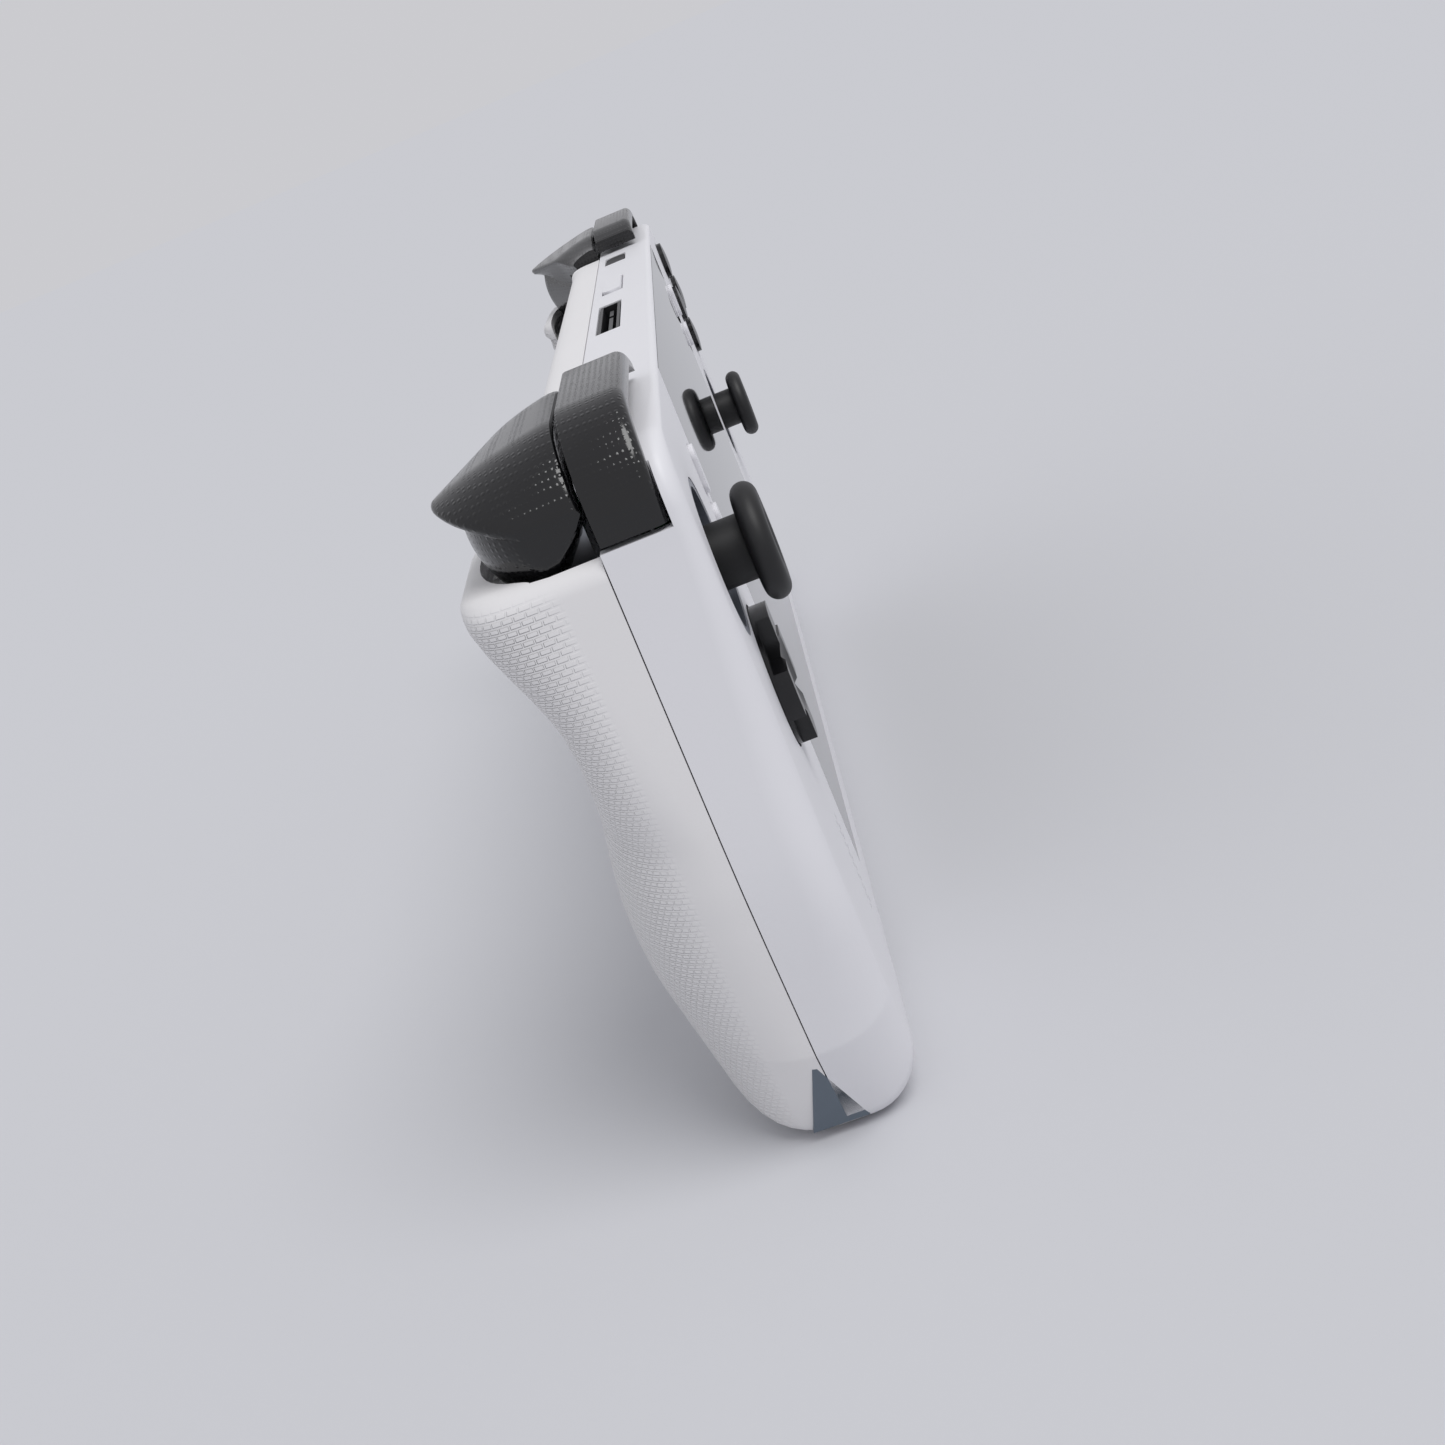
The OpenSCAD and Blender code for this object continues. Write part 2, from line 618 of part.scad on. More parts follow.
housing_half = 8.6;
housing_y0 = 7.6;
housing_y1 = 12.6;
module side_board(left) {
  sx = left ? -left_stick_x : right_stick_x;
  sz = left ? left_stick_z : right_stick_z;
  hole = housing_half + clear;
  color("darkgreen") difference() {
    if (left) block(-130.5, -85.2, board_y, board_y + board_t, -14, 34);
    else block(85.2, 130.5, board_y, board_y + board_t, -21, 40.5);
    block(sx - hole, sx + hole, 0, 20, sz - hole, sz + hole);
    screw_spots_all() rod(0, 0, 3 + clear, 0, 20);
  }
}
module stick_ring(x, z) {
  color("slategray") difference() {
    union() {
      rod(x, z, ring_r, 0.1, wall + 0.1);
      rod(x, z, ring_r + 1.3, wall + 0.1, wall + 1);
    }
    rod(x, z, ring_r - 1.2, -1, wall + 2);
  }
}
yoke_r = 6.2;
module stick_housing(x, z) {
  color("silver") difference() {
    block(x - housing_half, x + housing_half, housing_y0, housing_y1 + 1.2, z - housing_half, z + housing_half);
    translate([x, stick_y, z]) sphere(r = dome_r - 0.6);
    rod(x, z, dome_r - 0.75, 0, stick_y);
    translate([x - housing_half - 1, stick_y, z]) rotate([0, 90, 0]) cylinder(r = 1 + fit, h = 2 * housing_half + 2);
  }
}
// The outer yoke tilts up and down on two stub axles along X.
module stick_yoke(x, z) {
  color("dimgray") translate([x, stick_y, z]) {
    difference() {
      rotate([0, 90, 0]) cylinder(r = 1.9, h = 2 * yoke_r + 1, center = true);
      rotate([0, 90, 0]) cylinder(r = 3, h = 2 * yoke_r - 2, center = true);
    }
    for (s = [-1, 1]) translate([s * (yoke_r + 1.2), 0, 0]) rotate([0, 90, 0]) cylinder(r = 1, h = 3.4, center = true);
    difference() {
      rotate([-90, 0, 0]) cylinder(r = yoke_r + 0.5, h = 2.4, center = true);
      rotate([-90, 0, 0]) cylinder(r = yoke_r - 1, h = 3, center = true);
      translate([0, 0, -10]) cylinder(r = 0.8 + fit, h = 20);
    }
  }
}
// The pivot tilts sideways in the yoke, on an axle along Z.
module stick_pivot(x, z) {
  color("gray") translate([x, stick_y, z]) difference() {
    union() {
      rotate([-90, 0, 0]) cylinder(r = 3.4, h = 2.2, center = true);
      cylinder(r = 0.8, h = 2 * yoke_r + 0.6, center = true);
    }
    translate([0, 0, 0]) rotate([-90, 0, 0]) cylinder(r = 1.6 + fit, h = 6, center = true);
  }
}
module thumbstick(x, z) {
  color([0.09, 0.09, 0.1]) {
    difference() {
      translate([x, stick_y, z]) sphere(r = dome_r);
      translate([x, stick_y, z]) sphere(r = dome_r - 0.8);
      block(x - 20, x + 20, stick_y - 5.4, stick_y + 20, z - 20, z + 20);
    }
    rod(x, z, stem_r, -cap_out + cap_t - 0.5, stick_y - dome_r + 1.1);
    rod(x, z, 1.6, -cap_out + cap_t, stick_y + 0.8);
    translate([x, -cap_out, z]) rotate([-90, 0, 0]) rotate_extrude() cap_profile();
  }
}
module cap_profile() {
  difference() {
    union() {
      square([cap_r - cap_t / 2, cap_t]);
      translate([cap_r - cap_t / 2, cap_t / 2]) circle(r = cap_t / 2);
    }
    translate([-cap_r, -1]) square([cap_r, cap_t + 2]);
    translate([0, -11.4]) circle(r = 12.2);
  }
}

// ---- pad and buttons -----------------------------------------------------

dpad_pivot_y = 4.4;
dpad_ball_r = 1.3;
module dpad_post() {
  color("gray") {
    translate([-dpad_x, dpad_pivot_y, dpad_z]) sphere(r = dpad_ball_r);
    rod(-dpad_x, dpad_z, 0.9, dpad_pivot_y, board_y);
  }
}
module dpad_flange() {
  color("black") difference() {
    union() {
      rod(-dpad_x, dpad_z, dpad_r + 1.4, 3, 4);
      rod(-dpad_x, dpad_z, 3.2, 3.5, 5.3);
    }
    translate([-dpad_x, dpad_pivot_y, dpad_z]) sphere(r = dpad_ball_r + fit);
  }
}
arm_w = 7.6;
module dpad() {
  color([0.08, 0.08, 0.09]) difference() {
    union() {
      rod(-dpad_x, dpad_z, dpad_r, -0.6, wall);
      intersection() {
        rod(-dpad_x, dpad_z, dpad_r, -2.8, 1);
        union() {
          block(-dpad_x - 20, -dpad_x + 20, -2.8, 0, dpad_z - arm_w / 2, dpad_z + arm_w / 2);
          block(-dpad_x - arm_w / 2, -dpad_x + arm_w / 2, -2.8, 0, dpad_z - 20, dpad_z + 20);
        }
      }
    }
    translate([-dpad_x, -19, dpad_z]) sphere(r = 17.6);
  }
}
membrane_y = 5.4;
module left_membrane() {
  color("gainsboro") difference() {
    rod(-dpad_x, dpad_z, dpad_r + 0.6, membrane_y, membrane_y + 0.8);
    rod(-dpad_x, dpad_z, 4, membrane_y - 1, membrane_y + 2);
    block(-left_stick_x - 20, -left_stick_x + 20, 0, 10, left_stick_z - housing_half - clear, 60);
  }
}
module right_membrane() {
  color("gainsboro") {
    for (a = [0 : 90 : 270])
      rod(face_x + face_pitch * cos(a), face_z + face_pitch * sin(a), 3.6, membrane_y, membrane_y + 0.8);
    rod(face_x, face_z, 8, membrane_y, membrane_y + 0.8);
  }
}
module face_button(a) {
  x = face_x + face_pitch * cos(a);
  z = face_z + face_pitch * sin(a);
  color([0.08, 0.08, 0.09]) {
    intersection() {
      rod(x, z, face_r, -1.6, 3);
      translate([x, 22.4, z]) sphere(r = 24);
    }
    rod(x, z, face_r + 0.7, wall + 0.5, wall + 1.3);
    rod(x, z, 2.2, 3, membrane_y - face_travel - 0.1);
  }
}
menu_z = 30.3;
menu_w = 3.8;
menu_len = 8;
option_z = 21.5;
option_len = 6;
menu_travel = 0.4;
module small_button(s, z, l) {
  color("white") {
    slot_bar(s * menu_x, z, menu_w, l, -0.7, wall + 0.8);
    slot_bar(s * menu_x, z, menu_w + 1, l + 1, wall + 0.2, wall + 0.8);
    rod(s * menu_x, z, 1, wall + 0.8, board_y - menu_travel - 0.2);
  }
}
rocker_y = 8.6;
rocker_w = 4;
module volume_rocker() {
  color("white") {
    top_bar(rocker_x, rocker_y, rocker_len, rocker_w, case_top - wall - 0.6, case_top + 0.5);
    block(rocker_x - rocker_len / 2 + 3, rocker_x + rocker_len / 2 - 3, rocker_y - rocker_w / 2 - 0.4,
      rocker_y + rocker_w / 2 - 1, case_top - wall - 1.3, case_top - wall - 0.5);
  }
}
power_len = 12;
power_w = 4.6;
module power_button() {
  color("dimgray") {
    top_bar(power_x, rocker_y, power_len, power_w, case_top - wall - 0.6, case_top - 0.1);
    top_bar(power_x, rocker_y, power_len + 1, power_w + 1, case_top - wall - 1.2, case_top - wall - 0.55);
  }
}
rear_button_w = 8;
rear_travel = 0.8;
module rear_button(left) {
  color("white") on_side(left) {
    slot_bar(rear_button_x, 0, rear_button_w, rear_button_len, body_t - wall - 1.4, body_t + 1.4);
    slot_bar(rear_button_x, 0, rear_button_w + 1.2, rear_button_len + 1.2, body_t - wall - 1.4, body_t - wall - 0.3);
  }
}

// ---- bumpers and triggers ------------------------------------------------

module bumper(left) {
  color("black") on_side(left) {
    // The front edge steps back twice.
    bumper_band(0, bumper_y0 + 1.6, bumper_y1);
    bumper_band(0.6, bumper_y0 + 0.8, bumper_y0 + 1.6);
    bumper_band(1.3, bumper_y0, bumper_y0 + 0.8);
    // The hinge ear at the inner end.
    rod(socket_x + 3, hinge_z, 1.2, bumper_y0 + 2, bumper_y1 - 2);
  }
}
hinge_z = case_top + 1.4;

trigger_y0 = seam_y + 0.2;
trigger_top = bumper_top - 0.9;
corner_x = end_x - 13.2;
corner_r = 14;
function drop(x) = x < corner_x ? 0 : corner_r - sqrt(max(0, pow(corner_r, 2) - pow(x - corner_x, 2)));
// The lip is short at the trigger's inner end and reaches furthest near the corner.
lip_in = pin_y + 3;
function lip_y(x) =
  x < corner_x
    ? mix(lip_in, trigger_lip, (x - trigger_x0) / (corner_x - trigger_x0))
    : pin_y + (trigger_lip - pin_y) * sqrt(max(0, 1 - pow((x - corner_x) / 14, 2)));
function lip_z(x) = trigger_top - (x < corner_x ? 4.3 * (lip_y(x) - trigger_y0) / (trigger_lip - trigger_y0) : 4.3)
  - 0.55 * drop(x) - 2.4 * (1 - smooth((x - trigger_x0) / 12));
function trigger_section(x) =
  let (
    top = trigger_top - drop(x) - 2.4 * (1 - smooth((x - trigger_x0) / 12)),
    ly = lip_y(x),
    lz = lip_z(x),
    r = min(barrel_r(x), lip_y(x) - pin_y - 1),
    under = max(8, min(20, asin((lz - 2.6 - pin_z) / max(r, lz - 2.6 - pin_z + 0.1))))
  )
  concat(
    [[trigger_y0 + 7.5, 28.5], [trigger_y0 + 1.4, 36.5], [trigger_y0, 41], [trigger_y0, top - 1],
     [trigger_y0 + 0.8, top], [mix(trigger_y0, ly, 0.55), mix(top, lz, 0.5) + 0.2],
     [ly - 1, lz + 0.2], [ly, lz - 0.5], [ly - 0.6, lz - 1.5]],
    [for (a = [under : -(under + 55) / 6 : -55.01]) [pin_y + r * cos(a), pin_z + r * sin(a)]]
  );
module trigger_body() {
  xs = [for (i = [0 : 12]) trigger_x0 + (end_x - trigger_x0) * sin(90 * i / 12)];
  loft([for (x = xs) [for (p = trigger_section(x)) [x, p[0], p[1]]]]);
}
cheek_x = [95, 126];
cheek_t = 1.6;
module trigger(left) {
  color("black") on_side(left) difference() {
    trigger_body();
    for (x = cheek_x) block(x - cheek_t / 2 - clear, x + cheek_t / 2 + clear, 10, 24.4, 20, 44.6);
    translate([cheek_x[0] - 3, pin_y, pin_z]) rotate([0, 90, 0])
      cylinder(r = pin_r + fit, h = cheek_x[1] - cheek_x[0] + 6);
    block(108, 114, 10, pin_y + 4.4, 20, pin_z + 3.6);
  }
}
module trigger_brackets() {
  color("silver") for (left = [false, true]) on_side(left) {
    difference() {
      union() {
        for (x = cheek_x) {
          block(x - cheek_t / 2, x + cheek_t / 2, seam_y + 1.3, pin_y + 3.2, 24, pin_z + 2.8);
        }
        block(cheek_x[0] - cheek_t / 2, cheek_x[1] + 3, seam_y + 1.3, seam_y + 2.9, 22, 26.5);
        for (x = [98, 127]) rod(x, 24, 1.8, board_y + board_t, seam_y + 1.5);
      }
      translate([0, pin_y, pin_z]) rotate([0, 90, 0]) cylinder(r = pin_r + 0.02, h = 200);
    }
  }
}
module trigger_pins() {
  color("silver") for (left = [false, true]) on_side(left)
    translate([cheek_x[0] - 2, pin_y, pin_z]) rotate([0, 90, 0]) cylinder(r = pin_r, h = cheek_x[1] - cheek_x[0] + 4);
}
module trigger_springs() {
  color("gray") for (left = [false, true]) on_side(left) {
    translate([109, pin_y, pin_z]) rotate([0, 90, 0]) difference() {
      cylinder(r = pin_r + 1.4, h = 4);
      translate([0, 0, -1]) cylinder(r = pin_r + 0.4, h = 6);
    }
    block(109, 110, seam_y + 1.7, seam_y + 2.5, 26.6, pin_z - 1);
  }
}

// ---- trim and fasteners --------------------------------------------------

inset_t = 1;
facet_low = [tip_x, -grip_tip];
facet_high = [facet_x, facet_z];
facet_turn = atan2(facet_high[0] - facet_low[0], facet_high[1] - facet_low[1]);
// Places a drawing on the facet: X runs to the back, Y runs up the facet, Z points outwards.
module facet_place() {
  translate([facet_low[0], 0, facet_low[1]]) rotate([0, facet_turn, 0])
    multmatrix([[0, 0, 1, -inset_t], [1, 0, 0, 0], [0, 1, 0, 0]]) children();
}
function inset_shape(grow) = [
  [seam_y - 3.4 - grow, 1.6 - grow],
  [seam_y + 5.4 + grow, 1.8 - grow],
  [seam_y + 1.3 + grow / 2, 15.2 + grow * 2],
  [seam_y + 0.6 - grow, 15 + grow]
];
module grip_insets() {
  color("slategray") for (left = [false, true]) on_side(left)
    facet_place() linear_extrude(inset_t) polygon(inset_shape(0));
}
screw_r = 1;
screw_head_r = 2.1;
screw_seat_y = 15.4;
module screws() {
  color("silver") screw_spots_all() {
    rod(0, 0, screw_r, 6.5, screw_seat_y + 1);
    difference() {
      rod(0, 0, screw_head_r, screw_seat_y + 0.02, screw_seat_y + 1.6);
      for (a = [0, 90]) translate([0, screw_seat_y + 1.6, 0]) rotate([0, a, 0]) cube([2.6, 1.2, 0.6], center = true);
    }
  }
}

front_shell();
back_shell();
screen_glass();
display_panel();
mid_frame();
mainboard();
cooling_plate();
battery();
storage_drive();
fan_housing(true);  // left_fan_housing
fan_housing(false);  // right_fan_housing
fan(true);  // left_fan
fan(false);  // right_fan
fin_stack(true);  // left_fin_stack
fin_stack(false);  // right_fin_stack
dock_port();
card_slot();
headphone_jack();
speaker(true);  // left_speaker
speaker(false);  // right_speaker
rumble_motor(true);  // left_rumble_motor
rumble_motor(false);  // right_rumble_motor
side_board(true);  // left_board
side_board(false);  // right_board
left_membrane();
right_membrane();
stick_ring(-left_stick_x, left_stick_z);  // left_stick_ring
stick_ring(right_stick_x, right_stick_z);  // right_stick_ring
stick_housing(-left_stick_x, left_stick_z);  // left_stick_housing
stick_housing(right_stick_x, right_stick_z);  // right_stick_housing
stick_yoke(-left_stick_x, left_stick_z);  // left_stick_yoke
stick_yoke(right_stick_x, right_stick_z);  // right_stick_yoke
stick_pivot(-left_stick_x, left_stick_z);  // left_stick_pivot
stick_pivot(right_stick_x, right_stick_z);  // right_stick_pivot
thumbstick(-left_stick_x, left_stick_z);  // left_thumbstick
thumbstick(right_stick_x, right_stick_z);  // right_thumbstick
dpad_post();
dpad_flange();
dpad();
face_button(90);  // button_up
face_button(270);  // button_down
face_button(180);  // button_left
face_button(0);  // button_right
small_button(-1, menu_z, menu_len);  // view_button
small_button(1, menu_z, menu_len);  // menu_button
small_button(-1, option_z, option_len);  // left_option_button
small_button(1, option_z, option_len);  // right_option_button
bumper(true);  // left_bumper
bumper(false);  // right_bumper
trigger(true);  // left_trigger
trigger(false);  // right_trigger
trigger_brackets();
trigger_pins();
trigger_springs();
power_button();
volume_rocker();
rear_button(true);  // left_rear_button
rear_button(false);  // right_rear_button
grip_insets();
screws();
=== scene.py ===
# %% [markdown]
# A white handheld game controller with a wide glass screen, seen from beyond its left grip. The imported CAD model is
# the frame. This script repeats the sizes of its visible pieces, and gives their surfaces a smoother shape and finish.

# %% Load the frame
import bpy, bmesh, math
from mathutils import Matrix, Vector


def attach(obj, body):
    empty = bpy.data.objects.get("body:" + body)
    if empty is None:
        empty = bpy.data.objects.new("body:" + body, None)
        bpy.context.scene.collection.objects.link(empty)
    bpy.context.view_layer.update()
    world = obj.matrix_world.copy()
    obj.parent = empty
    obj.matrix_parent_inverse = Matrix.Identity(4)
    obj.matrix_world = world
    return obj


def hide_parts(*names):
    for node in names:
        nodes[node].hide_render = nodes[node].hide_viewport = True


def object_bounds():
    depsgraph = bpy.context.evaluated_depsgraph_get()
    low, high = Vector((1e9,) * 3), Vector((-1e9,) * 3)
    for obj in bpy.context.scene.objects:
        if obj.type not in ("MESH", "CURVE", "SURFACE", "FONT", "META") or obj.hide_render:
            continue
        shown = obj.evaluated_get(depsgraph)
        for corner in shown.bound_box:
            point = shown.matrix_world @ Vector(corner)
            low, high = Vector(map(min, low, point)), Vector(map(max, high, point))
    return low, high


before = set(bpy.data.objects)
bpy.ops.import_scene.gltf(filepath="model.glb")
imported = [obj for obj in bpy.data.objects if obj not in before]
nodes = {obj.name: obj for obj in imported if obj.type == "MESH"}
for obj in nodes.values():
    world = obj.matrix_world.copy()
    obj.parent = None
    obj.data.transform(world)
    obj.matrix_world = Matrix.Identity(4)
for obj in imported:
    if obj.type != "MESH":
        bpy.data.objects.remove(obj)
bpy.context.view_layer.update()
MM = 0.001
print("CAD nodes:", len(nodes))

# %% [markdown]
# The camera stands to the left of the controller and a little above the screen's middle, and looks along the glass
# towards the far grip. It is rolled, so the controller leans in the picture. Its axes are given as directions.

# %% Camera
camera_at = Vector((-345.6, -15.3, 90.9)) * MM
look = Vector((0.9269, 0.0971, -0.3626)).normalized()
right = Vector((-0.0463, -0.929, -0.3671))
right = (right - look * right.dot(look)).normalized()
up = right.cross(look)
cam_data = bpy.data.cameras.new("camera")
cam_data.lens, cam_data.sensor_width = 42.92, 36
cam_data.clip_start, cam_data.clip_end = 0.01, 50
cam = bpy.data.objects.new("camera", cam_data)
bpy.context.scene.collection.objects.link(cam)
cam.matrix_world = Matrix((
    (right.x, up.x, -look.x, camera_at.x),
    (right.y, up.y, -look.y, camera_at.y),
    (right.z, up.z, -look.z, camera_at.z),
    (0, 0, 0, 1)))
bpy.context.scene.camera = cam


# %% [markdown]
# Materials are made of nodes. One helper turns a hex colour into linear light, and one adds any node with its
# settings and links. Patterns read Object coordinates, so a dot pitch of one millimetre is a scale of 1000.

# %% Material helpers
def srgb(code):
    parts = [int(code[i:i + 2], 16) / 255 for i in (1, 3, 5)]
    return [c / 12.92 if c <= 0.04045 else ((c + 0.055) / 1.055) ** 2.4 for c in parts] + [1.0]


def add(tree, kind, settings=None, **links):
    node = tree.nodes.new("ShaderNode" + kind)
    for key, value in (settings or {}).items():
        if hasattr(node, key):
            setattr(node, key, value)
        else:
            node.inputs[int(key[1:]) if key[0] == "_" else key].default_value = value
    for key, source in links.items():
        name = int(key[1:]) if key[1:].isdigit() else key.replace("_", " ")
        tree.links.new(source, node.inputs[name])
    return node


def finish_material(name, colour, roughness, **more):
    mat = bpy.data.materials.new(name)
    mat.use_nodes = True
    bsdf = mat.node_tree.nodes["Principled BSDF"]
    bsdf.inputs["Base Color"].default_value = srgb(colour)
    bsdf.inputs["Roughness"].default_value = roughness
    for key, value in more.items():
        bsdf.inputs[key.replace("_", " ")].default_value = value
    return mat, mat.node_tree, bsdf


def grainy(name, colour, roughness, pitch, depth, spread=0.04, **more):
    """Moulded plastic: fine grain in the bump, and a slow change in tone and gloss."""
    mat, tree, bsdf = finish_material(name, colour, roughness, **more)
    place = add(tree, "TexCoord").outputs["Object"]
    grain = add(tree, "TexNoise", {"Scale": 1 / (pitch * MM), "Detail": 3.0}, Vector=place)
    slow = add(tree, "TexNoise", {"Scale": 22.0, "Detail": 2.0}, Vector=place)
    rough = add(tree, "MapRange", {"To Min": roughness - spread, "To Max": roughness + spread},
                Value=slow.outputs["Fac"])
    tree.links.new(rough.outputs["Result"], bsdf.inputs["Roughness"])
    base = srgb(colour)
    tone = add(tree, "Mix", {"data_type": "RGBA", "_6": base, "_7": [c * 0.94 for c in base[:3]] + [1.0]},
               _0=slow.outputs["Fac"])
    tree.links.new(tone.outputs[2], bsdf.inputs["Base Color"])
    bump = add(tree, "Bump", {"Strength": 0.35, "Distance": depth * MM}, Height=grain.outputs["Fac"])
    tree.links.new(bump.outputs["Normal"], bsdf.inputs["Normal"])
    return mat, tree, bsdf


# %% [markdown]
# The case is white ABS with a spark-eroded fine texture. The grips carry rows of short raised dashes behind the seam.
# The dashes are too small to model one by one all over, so they are a brick pattern in the bump, and they fade out
# towards the seam and towards the flat middle of the back.

# %% White case plastic
white, _, _ = grainy("moulded white ABS", "#E6E5E9", 0.42, 0.25, 0.02, Specular_IOR_Level=0.45)
grip, gt, gb = grainy("moulded white ABS with grip dashes", "#EAE8E9", 0.46, 0.25, 0.02, Specular_IOR_Level=0.4)
place = add(gt, "TexCoord").outputs["Object"]
axes = add(gt, "SeparateXYZ", Vector=place)
# The dashes run across the grip: one row every 0.9 mm up the grip, one dash every 1.9 mm round it.
around = add(gt, "Math", {"operation": "ADD"}, _0=axes.outputs["X"], _1=axes.outputs["Y"])
flat_place = add(gt, "CombineXYZ", X=around.outputs[0], Y=axes.outputs["Z"])
dashes = add(gt, "TexBrick", {"Scale": 1.0, "Mortar Size": 0.00022, "Mortar Smooth": 0.6, "Brick Width": 0.0019,
                              "Row Height": 0.0009, "Color1": (1, 1, 1, 1), "Color2": (1, 1, 1, 1),
                              "Mortar": (0, 0, 0, 1)}, Vector=flat_place.outputs["Vector"])
deep = add(gt, "MapRange", {"From Min": 0.0195, "From Max": 0.0265}, Value=axes.outputs["Y"])
out_x = add(gt, "Math", {"operation": "ABSOLUTE"}, _0=axes.outputs["X"])
wide = add(gt, "MapRange", {"From Min": 0.092, "From Max": 0.104}, Value=out_x.outputs[0])
both = add(gt, "Math", {"operation": "MULTIPLY"}, _0=deep.outputs["Result"], _1=wide.outputs["Result"])
under_rim = add(gt, "MapRange", {"From Min": 0.034, "From Max": 0.030}, Value=axes.outputs["Z"])
masked = add(gt, "Math", {"operation": "MULTIPLY"}, _0=both.outputs[0], _1=under_rim.outputs["Result"])
height = add(gt, "Math", {"operation": "MULTIPLY"}, _0=dashes.outputs["Color"], _1=masked.outputs[0])
old_bump = [n for n in gt.nodes if n.type == "BUMP"][0]
dash_bump = add(gt, "Bump", {"Strength": 0.9, "Distance": 0.00035}, Height=height.outputs[0],
                Normal=old_bump.outputs["Normal"])
gt.links.new(dash_bump.outputs["Normal"], gb.inputs["Normal"])

# %% [markdown]
# The triggers and bumpers are gloss black plastic, covered in fine dots about 0.9 mm apart that catch the light. The
# dots are in the bump. The cover glass is black and polished like a mirror.

# %% Black plastics, glass and metal
gloss, glt, glb = finish_material("polished black ABS with dots", "#0B0B0D", 0.16, Specular_IOR_Level=0.6)
place = add(glt, "TexCoord").outputs["Object"]
dots = add(glt, "TexVoronoi", {"Scale": 1150.0, "Randomness": 0.15}, Vector=place)
dot = add(glt, "MapRange", {"From Min": 0.15, "From Max": 0.42, "To Min": 1.0, "To Max": 0.0},
          Value=dots.outputs["Distance"])
dot_bump = add(glt, "Bump", {"Strength": 0.5, "Distance": 0.00012}, Height=dot.outputs["Result"])
glt.links.new(dot_bump.outputs["Normal"], glb.inputs["Normal"])
dark, _, _ = grainy("moulded black ABS", "#141417", 0.38, 0.2, 0.02)
button, _, _ = grainy("satin black button plastic", "#0D0D10", 0.24, 0.3, 0.01)
glass, _, _ = finish_material("black cover glass", "#050506", 0.02, Specular_IOR_Level=0.75)
ring_grey, _, _ = grainy("satin grey trim", "#7B7F8A", 0.34, 0.2, 0.01, Metallic=0.25)
slate, _, _ = grainy("slate grey trim", "#5F6A76", 0.45, 0.25, 0.02)
steel, _, _ = grainy("pressed steel", "#A9ABAF", 0.32, 0.4, 0.01, Metallic=1.0)
frame_metal, _, _ = grainy("die-cast aluminium", "#B4B6BA", 0.4, 0.4, 0.02, Metallic=1.0)
copper, _, _ = grainy("copper", "#C07A50", 0.3, 0.4, 0.01, Metallic=1.0)
board, _, _ = grainy("green solder mask", "#12472A", 0.4, 0.5, 0.01)
silicone, _, _ = grainy("silicone rubber", "#D5D4D0", 0.6, 0.3, 0.02)
rubber, _, _ = grainy("black grip rubber", "#111113", 0.5, 0.22, 0.03)

paint = {}
for name in nodes:
    paint[name] = dark
for names, mat in (
    (("front_shell",), white), (("back_shell", "left_rear_button", "right_rear_button"), grip),
    (("view_button", "menu_button", "left_option_button", "right_option_button", "volume_rocker"), white),
    (("screen_glass",), glass), (("mid_frame",), frame_metal), (("cooling_plate",), copper),
    (("mainboard", "left_board", "right_board", "storage_drive"), board),
    (("left_membrane", "right_membrane"), silicone),
    (("left_stick_ring", "right_stick_ring"), ring_grey), (("grip_insets",), slate),
    (("left_trigger", "right_trigger", "left_bumper", "right_bumper"), gloss),
    (("dpad", "button_up", "button_down", "button_left", "button_right"), button),
    (("left_thumbstick", "right_thumbstick"), rubber),
    (("card_slot", "trigger_brackets", "trigger_pins", "trigger_springs", "screws", "left_stick_housing",
      "right_stick_housing", "left_rumble_motor", "right_rumble_motor", "left_fin_stack", "right_fin_stack"), steel),
):
    for name in names:
        paint[name] = mat
for name, obj in nodes.items():
    obj.data.materials.clear()
    obj.data.materials.append(paint[name])
print("materials:", len(bpy.data.materials))


# %% [markdown]
# The two shells are smooth moulded cups. Each is lofted through rings that follow the same rules as the CAD model:
# an outline with rounded corners, a rounded edge, and on the back a depth that swells into the grips. Here the rings
# are closer together, so the grips have no facets. The openings are then cut with Boolean modifiers.

# %% Outline helpers
CASE_TOP, GRIP_TIP, CASE_BOTTOM, HALF_W = 46.5, 59.5, 54.5, 140.0
SEAM, WALL, SOCKET_X, SOCKET_Z, BODY_T = 13.0, 2.0, 88.0, 35.5, 21.2
SIDE_TOP_X = HALF_W - 6.6


def rounded(rows, fine):
    """Rounds the corners of rows [x, z, radius, values...] and keeps each corner's values on its arc."""
    out = []
    count = len(rows)
    for i, b in enumerate(rows):
        if b[2] == 0:
            out.append([b[0], b[1]] + b[3:])
            continue
        corner = Vector((b[0], b[1]))
        u = (Vector(rows[i - 1][:2]) - corner).normalized()
        v = (Vector(rows[(i + 1) % count][:2]) - corner).normalized()
        opening = math.acos(max(-1, min(1, u.dot(v))))
        reach = b[2] / math.tan(opening / 2)
        centre = corner + (u + v).normalized() * (b[2] / math.sin(opening / 2))
        start, end = corner + u * reach - centre, corner + v * reach - centre
        turn = math.pi - opening
        steps = max(2, int(fine * turn / math.radians(10)) + 1)
        for k in range(steps + 1):
            f = k / steps
            p = centre + (start * math.sin((1 - f) * turn) + end * math.sin(f * turn)) / math.sin(turn)
            out.append([p.x, p.y] + b[3:])
    return out


